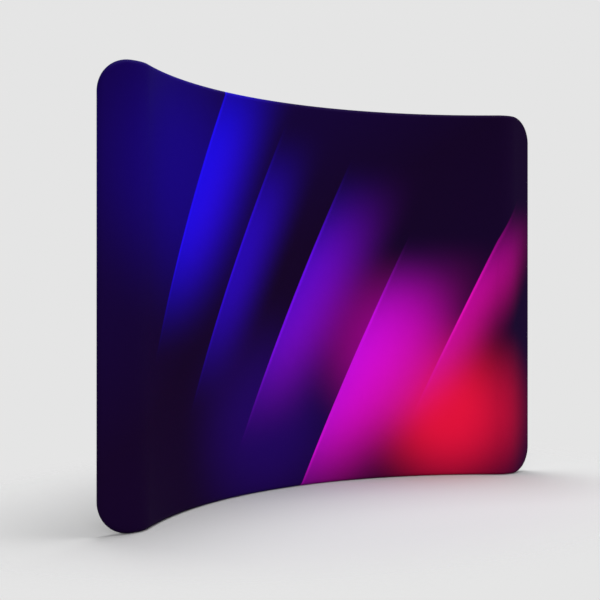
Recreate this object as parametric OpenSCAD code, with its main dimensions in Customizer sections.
// Curved display backwall: a bent tube frame inside a zipped stretch-fabric cover.
// Millimetres, +Z up. The concave, printed front faces -Y. The origin is the middle of the
// footprint, on the floor. In plan the tubes' centre line is one large arc, the sweep, and at
// each end a tight bend the other way and a short flat end.

/* [Overall] */
// Height of the whole wall
wall_h = 2300; // [1800:10:2500]
// Radius of the sweep, at the tubes' centre line
sweep_r = 2000; // [1600:50:3000]
// Angle from the middle of the wall to each end of the sweep
sweep_half_angle = 40; // [30:1:45]
// Radius of the bend at each end of the sweep
end_bend_r = 140; // [110:5:200]
// Angle of that bend, which turns the end back
end_bend_angle = 46.5; // [20:0.5:60]
// Radius of the corner bends in the flat ends
corner_r = 140; // [110:5:200]

/* [Tubes] */
// Outside diameter of the frame tubes
tube_d = 50; // [46:1:60]
// Wall of the frame tubes
tube_wall = 1.5; // [1.2:0.1:2.5]
// Length of the upright leg on each corner bend
corner_leg = 100; // [80:5:200]
// Distance from the outer rail joints to the ends of the sweep
joint_to_bend = 106; // [76:2:200]
// Length of the centre rails, along the sweep
centre_rail_l = 860; // [500:10:960]
// Distance of a support post from the inner rail joint
support_to_joint = 170; // [80:5:180]
// Height of a support stub's collar above the rail's surface
collar_h = 50; // [48:1:90]

/* [Couplers] */
// Length of a coupler, half of it in each tube
coupler_l = 120; // [110:2:160]
// Wall of the couplers and stubs
coupler_wall = 2; // [1.5:0.1:3]
// Gap all round between a coupler and its tube
coupler_gap = 0.1; // [0.05:0.05:0.3]

/* [Spring buttons] */
// Diameter of a spring button
button_d = 8; // [6:0.5:9]
// Gap all round a button in its hole, which its tilt needs
button_gap = 0.7; // [0.6:0.1:1]
// How far a button stands out of the tube
button_proud = 3.2; // [2:0.1:4]
// Distance of a button from the tubes' joint
button_x = 30; // [26:1:40]
// Distance of a rivet from the tubes' joint
rivet_x = 30; // [28:1:40]
// Width of the leaf spring
leaf_w = 8; // [6:0.5:9]
// Thickness of the leaf spring
leaf_t = 0.9; // [0.6:0.1:1.2]
// Diameter of a rivet's shank
rivet_d = 4.8; // [4:0.2:6]

/* [Cover] */
// Thickness of the fabric
fabric_t = 1.2; // [0.8:0.1:2]
// Gap between the tubes and the fabric
fabric_gap = 0.3; // [0.2:0.05:0.5]
// How deep the fabric is pressed flat on the floor
floor_press = 0.8; // [0.4:0.1:0.9]

/* [Zip] */
// Height of the zip's middle line above the floor
zip_z = 75; // [72:1:110]
// Distance from the ends of the zip to the ends of the sweep
zip_to_bend = 106; // [56:2:500]
// Width of the gap in the fabric behind the zip
zip_window = 16; // [15:0.5:20]
// Width of one zip tape
tape_w = 13; // [11:0.5:16]
// Thickness of the zip tape
tape_t = 0.8; // [0.6:0.1:1.2]
// Width of one coil
coil_w = 3.2; // [2.5:0.1:4]
// Height of the coil above the tape
coil_h = 2.2; // [1.6:0.1:3]
// Slit between the two coils, which the slider's web runs in
coil_slit = 1.4; // [1.2:0.1:2]
// Length of the zip slider
slider_l = 17; // [14:1:24]
// Length of the pull, from its eye to its tip
pull_l = 32; // [22:1:40]
// Width of the pull
pull_w = 9; // [7:0.5:12]

/* [Hidden] */

// Round parts
big_fn = 256;
tube_fn = 72;
small_fn = 32;

// Radii across a tube joint, from the centre line outwards
tube_r = tube_d / 2;
tube_bore_r = tube_r - tube_wall;
coupler_r = tube_bore_r - coupler_gap;
coupler_bore_r = coupler_r - coupler_wall;

// The cover's two faces, measured from the tubes' centre line
skin_in = tube_r + fabric_gap;
skin_out = skin_in + fabric_t;

// Heights of the rails' centre lines, and of the corner bends' centres
rail_top_z = wall_h - skin_out;
rail_bottom_z = skin_out - floor_press;
corner_top_z = rail_top_z - corner_r;
corner_bottom_z = rail_bottom_z + corner_r;

// The zip's layers, measured from the tubes' centre line towards the back
tape_out = skin_out + tape_t;
coil_out = tape_out + coil_h;

// Half the length of the sweep, and places along it, from the middle of the wall
sweep_half_l = sweep_r * sweep_half_angle * PI / 180;
outer_joint_s = sweep_half_l - joint_to_bend;
inner_joint_s = centre_rail_l / 2;
support_s = inner_joint_s + support_to_joint;
zip_half_s = sweep_half_l - zip_to_bend;

// Plan of the centre line, before it is moved to put the origin in the middle of the footprint
end_heading = sweep_half_angle - end_bend_angle;
sweep_end = [sweep_r * sin(sweep_half_angle), sweep_r * (cos(sweep_half_angle) - 1)];
bend_centre = sweep_end + end_bend_r * [sin(sweep_half_angle), cos(sweep_half_angle)];
bend_end = bend_centre - end_bend_r * [sin(end_heading), cos(end_heading)];
foremost_y = (end_heading < 0 ? bend_centre.y - end_bend_r : bend_end.y) - skin_out;
plan_y = -(foremost_y + coil_out) / 2;

// Metal, plastic and fabric colours
aluminium = "silver";
steel = "dimgray";
print_violet = [0.14, 0.05, 0.42];
back_charcoal = [0.09, 0.09, 0.10];
zip_black = [0.05, 0.05, 0.06];

// ---------------------------------------------------------------- places

// Each place is found from the one before it: sweep's centre, sweep's end, bend's centre, flat end.

// A number as it reads when it is written with six significant digits
function six_digits(x) =
    x == 0 ? 0 : let (unit = pow(10, ceil(log(abs(x))) - 6)) round(x / unit) * unit;

// Turns children about Z. The second, tiny turn gives back what six written digits take from the
// first, so that curved pieces drawn in different frames still meet face to face.
module turn(angle) {
    written = atan2(six_digits(sin(angle)), six_digits(cos(angle)));
    rotate([0, 0, angle]) rotate([0, 0, angle - written]) children();
}

// Puts children at the sweep's centre of curvature
module at_sweep_centre() {
    translate([0, plan_y - sweep_r, 0]) children();
}

// Puts children at a place on the sweep: +X along the sweep to the right, +Y to the back
module on_sweep(s, z = 0) {
    at_sweep_centre()
        turn(-s / sweep_r * 180 / PI)
            translate([0, sweep_r, z])
                children();
}

// Puts children at the right-hand bend's centre of curvature: +X along the sweep's end
module at_bend_centre() {
    at_sweep_centre()
        turn(-sweep_half_angle)
            translate([0, sweep_r + end_bend_r, 0])
                children();
}

// Puts children in the right-hand flat end: origin at the end of the bend, +X to the tip
module on_flat_end(z = 0) {
    at_bend_centre()
        turn(end_bend_angle)
            translate([0, -end_bend_r, z])
                children();
}

// Draws children on the right-hand or, mirrored, on the left-hand side
module on_side(side) {
    if (side == "right") children();
    else mirror([1, 0, 0]) children();
}

// Revolves a section about the sweep's centre, between two angles from the middle, to the right.
// The section's X is the distance from the centre of curvature.
module around_sweep(angle0, angle1) {
    at_sweep_centre()
        turn(90 - angle1)
            rotate_extrude(angle = angle1 - angle0, $fn = big_fn)
                children();
}

// The same, between two lengths along the sweep
module along_sweep(s0, s1) {
    around_sweep(s0 / sweep_r * 180 / PI, s1 / sweep_r * 180 / PI) children();
}

// Moves children by v: whole millimetres first, then the rest, so that no digit is lost
module place(v) {
    whole = [for (x = v) round(x)];
    rest = [for (x = v - whole) round(x * 1e5) / 1e5];
    translate(whole) translate(rest) translate(v - whole - rest) children();
}

// What is bent from one length, or cut from one sheet, is drawn in the flat end's frame, where
// the bend before the flat end and the sweep before the bend start at given angles.

// Revolves a section about the bend's centre, up to the flat end
module bend_before_flat() {
    translate([0, end_bend_r, 0])
        rotate_extrude(start = -90 - end_bend_angle, angle = end_bend_angle, $fn = big_fn)
            children();
}

// Revolves a section about the sweep's centre, over an angle up to the bend
module sweep_before_bend(angle) {
    reach = sweep_r + end_bend_r;
    place([-reach * sin(end_bend_angle), end_bend_r - reach * cos(end_bend_angle), 0])
        rotate_extrude(start = 90 - end_bend_angle, angle = angle, $fn = big_fn)
            children();
}

// Revolves a section about the top corner bend's centre; its Y points to the front
module corner_after_flat() {
    translate([0, 0, corner_top_z])
        rotate([90, 0, 0])
            rotate_extrude(angle = 90, $fn = big_fn)
                children();
}

// Draws children at the top or, mirrored, at the bottom; up is true at the top
module on_level(up) {
    if (up) children();
    else translate([0, 0, rail_top_z + rail_bottom_z]) mirror([0, 0, 1]) children();
}

// ---------------------------------------------------------------- tube joints

// A tube joint is drawn along its own axis: the joint's plane is X = 0, the coupler is riveted
// in the tube at X < 0, and the button points to +Z, in the tube at X > 0.
// Each place in this list is [name, kind, side, place along the sweep, height, way].
// The way is 1 where +X runs outwards or up, and -1 where it runs down.
mid_z = wall_h / 2;
leg_top_z = corner_top_z - corner_leg;
leg_bottom_z = corner_bottom_z + corner_leg;
collar_bottom_z = rail_bottom_z + tube_r + collar_h;
collar_top_z = rail_top_z - tube_r - collar_h;
JOINTS = [
    for (side = ["left", "right"]) each [
        [str("top_", side, "_outer"), "rail", side, outer_joint_s, rail_top_z, -1],
        [str("top_", side, "_inner"), "rail", side, inner_joint_s, rail_top_z, -1],
        [str("bottom_", side, "_outer"), "rail", side, outer_joint_s, rail_bottom_z, 1],
        [str("bottom_", side, "_inner"), "rail", side, inner_joint_s, rail_bottom_z, 1],
        [str("end_", side, "_low"), "end", side, 0, leg_bottom_z, 1],
        [str("end_", side, "_mid"), "end", side, 0, mid_z, 1],
        [str("end_", side, "_high"), "end", side, 0, leg_top_z, -1],
        [str("support_", side, "_low"), "support", side, support_s, collar_bottom_z, 1],
        [str("support_", side, "_mid"), "support", side, support_s, mid_z, 1],
        [str("support_", side, "_high"), "support", side, support_s, collar_top_z, -1]
    ]
];

// Puts children, drawn along a joint's own axis, at that joint
module at_joint(j) {
    on_side(j[2])
        if (j[1] == "rail") {
            // the button points down from a top rail and up from a bottom rail
            on_sweep(j[3], j[4]) rotate([j[5] > 0 ? 0 : 180, 0, 0]) children();
        } else if (j[1] == "end") {
            // +X runs up or down the post, and the button points to the middle of the wall
            on_flat_end(j[4]) translate([corner_r, 0, 0])
                mirror([0, 0, j[5] > 0 ? 0 : 1]) rotate([0, -90, 0]) children();
        } else {
            on_sweep(j[3], j[4])
                mirror([0, 0, j[5] > 0 ? 0 : 1]) rotate([0, -90, 0]) children();
        }
}

// The rivet's and the button's holes of one joint, through both tubes and the coupler
module joint_holes(j) {
    at_joint(j) {
        translate([-rivet_x, 0, coupler_bore_r / 2])
            cylinder(h = tube_r, d = rivet_d + rivet_gap, $fn = small_fn);
        translate([button_x, 0, coupler_bore_r / 2])
            cylinder(h = tube_r, d = button_d + 2 * button_gap, $fn = small_fn);
    }
}

// The holes of every joint of one kind, on one side, or on both
module holes_of(kind, side, way = 0) {
    for (j = JOINTS)
        if (j[1] == kind && j[2] == side && (way == 0 || j[5] == way))
            joint_holes(j);
}

// ---------------------------------------------------------------- frame tubes

// Section of a tube, centred
module tube_section() {
    difference() {
        circle(r = tube_r, $fn = tube_fn);
        circle(r = tube_bore_r, $fn = tube_fn);
    }
}

// Section of a coupler, centred
module coupler_section() {
    difference() {
        circle(r = coupler_r, $fn = tube_fn);
        circle(r = coupler_bore_r, $fn = tube_fn);
    }
}

// Straight tube between two heights
module upright(z0, z1) {
    translate([0, 0, z0])
        linear_extrude(z1 - z0)
            tube_section();
}

// Rail along the sweep from s0 to s1, with the holes of the joints at its ends
module rail(s0, s1, z) {
    color(aluminium)
        difference() {
            along_sweep(s0, s1) translate([sweep_r, z]) tube_section();
            for (side = ["left", "right"])
                holes_of("rail", side, z == rail_top_z ? -1 : 1);
        }
}

// A round bar along the top right corner tube's path, in the flat end's frame: a piece of the
// sweep, the end bend, the corner bend and the leg
module corner_bar(r) {
    sweep_before_bend(sweep_half_angle - outer_joint_s / sweep_r * 180 / PI)
        translate([sweep_r, rail_top_z]) circle(r = r, $fn = tube_fn);
    bend_before_flat() translate([end_bend_r, rail_top_z]) circle(r = r, $fn = tube_fn);
    corner_after_flat() translate([corner_r, 0]) circle(r = r, $fn = tube_fn);
    translate([corner_r, 0, leg_top_z]) cylinder(h = corner_leg, r = r, $fn = tube_fn);
}

// Corner tube of one side, bent twice from one length of tube
module corner_tube(side, up) {
    color(aluminium)
        difference() {
            on_side(side) on_level(up) on_flat_end()
                difference() {
                    corner_bar(tube_r);
                    corner_bar(tube_bore_r);
                }
            holes_of("rail", side, up ? -1 : 1);
            holes_of("end", side);
        }
}

module end_post(side, z0, z1) {
    color(aluminium)
        difference() {
            on_side(side) on_flat_end() translate([corner_r, 0, 0]) upright(z0, z1);
            holes_of("end", side);
        }
}

module support_post(side, z0, z1) {
    color(aluminium)
        difference() {
            on_side(side) on_sweep(support_s) upright(z0, z1);
            holes_of("support", side);
        }
}

// ---------------------------------------------------------------- couplers and stubs

// How far a stub's collar is coped down over the rail, and its weld gap
cope_depth = 16;
weld_gap = 0.1;

// Welded stub: a collar that the post butts on and a spigot that the post slides over
module support_stub(j) {
    z = j[5] > 0 ? rail_bottom_z : rail_top_z;
    difference() {
        at_joint(j) rotate([0, 90, 0]) {
            translate([0, 0, -collar_h - cope_depth])
                cylinder(h = collar_h + cope_depth, r = tube_r, $fn = tube_fn);
            cylinder(h = coupler_l / 2, r = coupler_r, $fn = tube_fn);
        }
        at_joint(j) rotate([0, 90, 0])
            translate([0, 0, -collar_h - tube_r])
                cylinder(h = collar_h + tube_r + coupler_l, r = coupler_bore_r, $fn = tube_fn);
        on_side(j[2])
            along_sweep(support_s - tube_d, support_s + tube_d)
                translate([sweep_r, z]) circle(r = tube_r + weld_gap, $fn = tube_fn);
        joint_holes(j);
    }
}

module support_stubs() {
    color(aluminium)
        for (j = JOINTS)
            if (j[1] == "support" && j[4] != mid_z) support_stub(j);
}

// Coupler on the sweep's radius
module rail_coupler(j) {
    difference() {
        on_side(j[2])
            along_sweep(j[3] - coupler_l / 2, j[3] + coupler_l / 2)
                translate([sweep_r, j[4]]) coupler_section();
        joint_holes(j);
    }
}

module rail_couplers(way) {
    color(aluminium)
        for (j = JOINTS)
            if (j[1] == "rail" && j[5] == way) rail_coupler(j);
}

// Straight coupler inside a post
module post_coupler(j) {
    difference() {
        at_joint(j) rotate([0, 90, 0]) translate([0, 0, -coupler_l / 2])
            linear_extrude(coupler_l) coupler_section();
        joint_holes(j);
    }
}

module post_couplers() {
    color(aluminium)
        for (j = JOINTS)
            if (j[1] == "end" || (j[1] == "support" && j[4] == mid_z)) post_coupler(j);
}

// ---------------------------------------------------------------- spring buttons

// Slack of a rivet in its holes
rivet_gap = 0.2;
// Gap between the leaf's edges and the coupler's bore, and room for a curved coupler
leaf_gap = 0.1;
leaf_play = 0.5;
leaf_top = sqrt(pow(coupler_bore_r, 2) - pow(leaf_w / 2 + leaf_play, 2)) - leaf_gap;
// Where the leaf's foot ends and its free leg starts
foot_reach = 8;
leg_gap = 0.3;
leg_x = -rivet_x + foot_reach + leg_gap;
// Faces of the leaf: its top, and its underside
leaf_under = leaf_top - leaf_t;

// Blind rivet through tube, coupler and leaf: domed head outside, closed tail inside
module joint_rivet() {
    shank_r = rivet_d / 2;
    head_r = rivet_d;
    head_h = rivet_d / 4;
    tail_r = rivet_d * 0.75;
    tail_h = rivet_d * 0.3;
    translate([-rivet_x, 0, 0])
        rotate_extrude($fn = small_fn)
            polygon([
                [0, leaf_under - tail_h], [tail_r, leaf_under - tail_h], [tail_r, leaf_under],
                [shank_r, leaf_under], [shank_r, tube_r], [head_r, tube_r],
                [head_r * 0.6, tube_r + head_h], [0, tube_r + head_h]
            ]);
}

// Fixed foot of the leaf spring, under the rivet
module leaf_foot() {
    difference() {
        translate([-rivet_x - foot_reach, -leaf_w / 2, leaf_under])
            cube([2 * foot_reach, leaf_w, leaf_t]);
        translate([-rivet_x, 0, 0])
            cylinder(h = tube_r, d = rivet_d + rivet_gap, $fn = small_fn);
    }
}

// Free leg of the leaf spring with its button, which tilts about the leg's root
module spring_button() {
    tip_z = tube_r + button_proud;
    cone_h = button_d / 4;
    base_r = max(leaf_w, button_d) / 2;
    color(steel) {
        translate([leg_x, -leaf_w / 2, leaf_under])
            cube([button_x - leg_x, leaf_w, leaf_t]);
        translate([button_x, 0, 0])
            rotate_extrude($fn = small_fn)
                polygon([
                    [0, leaf_under], [base_r, leaf_under], [base_r, leaf_top],
                    [button_d / 2, leaf_top], [button_d / 2, tip_z - cone_h],
                    [button_d * 0.3, tip_z], [0, tip_z]
                ]);
    }
}

module joint_rivets() {
    color(aluminium)
        for (j = JOINTS) at_joint(j) joint_rivet();
}

module leaf_feet() {
    color(steel)
        for (j = JOINTS) at_joint(j) leaf_foot();
}

// ---------------------------------------------------------------- cover

// Half of the fabric's ring round a tube; way is 1 for the half with Y above 0
module half_ring(way) {
    difference() {
        circle(r = skin_out, $fn = tube_fn);
        circle(r = skin_in, $fn = tube_fn);
        translate([-2 * skin_out, way > 0 ? -4 * skin_out : 0])
            square(4 * skin_out);
    }
}

// Section of the front panel: X is the distance from the tubes' centre line to the back
module front_section() {
    translate([-skin_out, rail_bottom_z]) square([fabric_t, rail_top_z - rail_bottom_z]);
    translate([0, rail_top_z]) half_ring(1);
    translate([0, rail_bottom_z]) half_ring(-1);
}

// Section of the back panel, to the same measure
module back_section() {
    translate([skin_in, rail_bottom_z]) square([fabric_t, rail_top_z - rail_bottom_z]);
}

// Outline of a flat end's face: X from the end of the bend to the post's centre line, Y up
module flat_end_outline() {
    translate([0, corner_bottom_z]) square([corner_r, corner_top_z - corner_bottom_z]);
    intersection() {
        translate([0, rail_bottom_z]) square([corner_r, rail_top_z - rail_bottom_z]);
        for (z = [corner_bottom_z, corner_top_z])
            translate([0, z]) circle(r = corner_r, $fn = big_fn);
    }
}

// Right-hand half of a panel, in the flat end's frame: the sweep to just past the middle and
// the bend, both with this section, and children(1), the flat end
module half_panel() {
    sweep_before_bend(sweep_half_angle + 1) translate([sweep_r, 0]) children(0);
    bend_before_flat() translate([end_bend_r, 0]) mirror([1, 0]) children(0);
    children(1);
}

// Draws the right-hand half of a panel and its mirror image, which meet in the middle
module both_halves() {
    for (side = ["left", "right"])
        on_side(side)
            intersection() {
                on_flat_end() children();
                translate([0, -sweep_r, -wall_h]) cube([2 * sweep_r, 2 * sweep_r, 3 * wall_h]);
            }
}

// The front panel's flat end: a flat face that wraps round the post and the corners
module front_end() {
    translate([0, -skin_in, 0]) rotate([90, 0, 0])
        linear_extrude(fabric_t) flat_end_outline();
    translate([corner_r, 0, corner_bottom_z])
        linear_extrude(corner_top_z - corner_bottom_z) rotate(-90) half_ring(1);
    for (up = [true, false])
        on_level(up) corner_after_flat() translate([corner_r, 0]) rotate(-90) half_ring(1);
}

// The back panel's flat end
module back_end() {
    translate([0, skin_out, 0]) rotate([90, 0, 0])
        linear_extrude(fabric_t) flat_end_outline();
}

// Printed front panel: sweep, two end bends and two flat ends, pressed flat on the floor
module front_panel() {
    color(print_violet)
        difference() {
            both_halves() half_panel() {
                front_section();
                front_end();
            }
            translate([0, 0, -skin_out])
                cube([4 * sweep_r, 4 * sweep_r, 2 * skin_out], center = true);
        }
}

// Back panel, cut away for the zip and the band under it
module back_panel() {
    window_z = zip_z + zip_window / 2;
    color(back_charcoal)
        difference() {
            both_halves() half_panel() {
                back_section();
                back_end();
            }
            along_sweep(-zip_half_s, zip_half_s)
                translate([sweep_r, 0]) square([2 * skin_out, window_z]);
        }
}

// Band of the back between the zip and the bottom edge
module lower_back_band() {
    color(back_charcoal)
        along_sweep(-zip_half_s, zip_half_s)
            translate([sweep_r + skin_in, rail_bottom_z])
                square([fabric_t, zip_z - zip_window / 2 - rail_bottom_z]);
}

// ---------------------------------------------------------------- zip

// How far the coils stop short of the zip's ends, where the end stops sit
stop_l = 4;
// Where the slider rests, next to the right-hand stop
stop_gap = 1;
slider_s = zip_half_s - stop_l - stop_gap - slider_l / 2;

// Strip of the zip, between two distances from the slit's middle and two layers
module zip_strip(way, z0, z1, in, out, half_s) {
    along_sweep(-half_s, half_s)
        translate([sweep_r + in, zip_z + (way > 0 ? z0 : -z1)])
            square([out - in, z1 - z0]);
}

module zip_tape(way) {
    color(zip_black)
        zip_strip(way, coil_slit / 2, coil_slit / 2 + tape_w, skin_out, tape_out, zip_half_s);
}

module zip_coil(way) {
    color(zip_black)
        zip_strip(way, coil_slit / 2, coil_slit / 2 + coil_w, tape_out, coil_out, zip_half_s - stop_l);
}

// Metal stop folded over the coils at each end
module zip_stops() {
    color(steel)
        for (side = ["left", "right"])
            on_side(side)
                on_sweep(zip_half_s - stop_l / 2, zip_z)
                    translate([0, (tape_out + coil_out) / 2, 0])
                        cube([stop_l * 0.85, coil_h, coil_slit + 2 * coil_w], center = true);
}

// Outline of the slider's plates, with a pointed nose
module slider_outline(w) {
    polygon([
        [-slider_l / 2, -w * 0.36], [-slider_l * 0.3, -w / 2], [slider_l * 0.2, -w / 2],
        [slider_l / 2, -w * 0.2], [slider_l / 2, w * 0.2], [slider_l * 0.2, w / 2],
        [-slider_l * 0.3, w / 2], [-slider_l / 2, w * 0.36]
    ]);
}

// The slider's layers: a lower plate inside the cover and an upper plate over the coils
slider_gap = 0.3;
lower_plate_t = 0.9;
lower_plate_in = skin_in + slider_gap / 2;
upper_plate_in = coil_out + slider_gap;
upper_plate_out = upper_plate_in + lower_plate_t * 1.2;
slider_w = zip_window * 0.85;
// The web between its plates, and the flanges that fold down beside the coils
web_w = coil_slit * 0.6;
flange_in = coil_slit / 2 + coil_w + slider_gap;
// The pull, and the swivel pin that it hangs on
pivot_d = 3;
pull_t = 1.1;
pull_gap = 0.2;
pin_h = pull_t + 2 * pull_gap;
pin_head_h = 0.8;

// Turns a flat shape drawn in X-Y so that it faces the back, between two layers
module facing_back(in, out) {
    translate([0, out, 0])
        rotate([90, 0, 0])
            linear_extrude(out - in)
                children();
}

// Two plates joined by the web, with a flange at each side and the swivel pin
module zip_slider() {
    color(steel)
        on_sweep(slider_s, zip_z) {
            facing_back(lower_plate_in, lower_plate_in + lower_plate_t) slider_outline(slider_w);
            facing_back(upper_plate_in, upper_plate_out) slider_outline(slider_w);
            facing_back(lower_plate_in, upper_plate_out)
                translate([slider_l * 0.1, -web_w / 2]) square([slider_l * 0.3, web_w]);
            for (way = [-1, 1])
                facing_back(tape_out + slider_gap, upper_plate_out)
                    translate([-slider_l * 0.3, way > 0 ? flange_in : -slider_w / 2])
                        square([slider_l * 0.5, slider_w / 2 - flange_in]);
            translate([0, upper_plate_out, 0]) rotate([-90, 0, 0]) {
                cylinder(h = pin_h, d = pivot_d, $fn = small_fn);
                translate([0, 0, pin_h])
                    cylinder(h = pin_head_h, d1 = pivot_d * 1.8, d2 = pivot_d * 1.3, $fn = small_fn);
            }
        }
}

// Outline of the pull: a round eye, a waist and a round tip with a hole
module pull_outline() {
    eye_r = pull_w * 0.45;
    tip_r = pull_w / 2;
    waist_y = -pull_l * 0.35;
    tip_y = tip_r - pull_l;
    difference() {
        union() {
            circle(r = eye_r, $fn = small_fn);
            polygon([
                [-eye_r, 0], [-eye_r * 0.6, waist_y], [-tip_r, tip_y],
                [tip_r, tip_y], [eye_r * 0.6, waist_y], [eye_r, 0]
            ]);
            translate([0, tip_y]) circle(r = tip_r, $fn = small_fn);
        }
        circle(d = pivot_d + pull_gap / 2, $fn = small_fn);
        translate([0, tip_y]) circle(r = tip_r / 2, $fn = small_fn);
    }
}

// Pull that hangs from the slider's swivel pin
module zip_pull() {
    pull_in = upper_plate_out + pull_gap;
    color(steel)
        on_sweep(slider_s, zip_z)
            facing_back(pull_in, pull_in + pull_t) pull_outline();
}

// ---------------------------------------------------------------- nodes

rail(-outer_joint_s, -inner_joint_s, rail_top_z);  // top_rail_left
rail(-inner_joint_s, inner_joint_s, rail_top_z);  // top_rail_centre
rail(inner_joint_s, outer_joint_s, rail_top_z);  // top_rail_right
rail(-outer_joint_s, -inner_joint_s, rail_bottom_z);  // bottom_rail_left
rail(-inner_joint_s, inner_joint_s, rail_bottom_z);  // bottom_rail_centre
rail(inner_joint_s, outer_joint_s, rail_bottom_z);  // bottom_rail_right
corner_tube("left", true);  // corner_top_left
corner_tube("right", true);  // corner_top_right
corner_tube("left", false);  // corner_bottom_left
corner_tube("right", false);  // corner_bottom_right
for (side = ["left", "right"]) {
    end_post(side, mid_z, leg_top_z);
    end_post(side, leg_bottom_z, mid_z);
    support_post(side, mid_z, collar_top_z);
    support_post(side, collar_bottom_z, mid_z);
}
support_stubs();
rail_couplers(-1);  // rail_couplers_top
rail_couplers(1);  // rail_couplers_bottom
post_couplers();
joint_rivets();
leaf_feet();
for (j = JOINTS)
    at_joint(j) spring_button();
front_panel();
back_panel();
lower_back_band();
zip_tape(1);  // zip_tape_upper
zip_tape(-1);  // zip_tape_lower
zip_coil(1);  // zip_coil_upper
zip_coil(-1);  // zip_coil_lower
zip_stops();
zip_slider();
zip_pull();
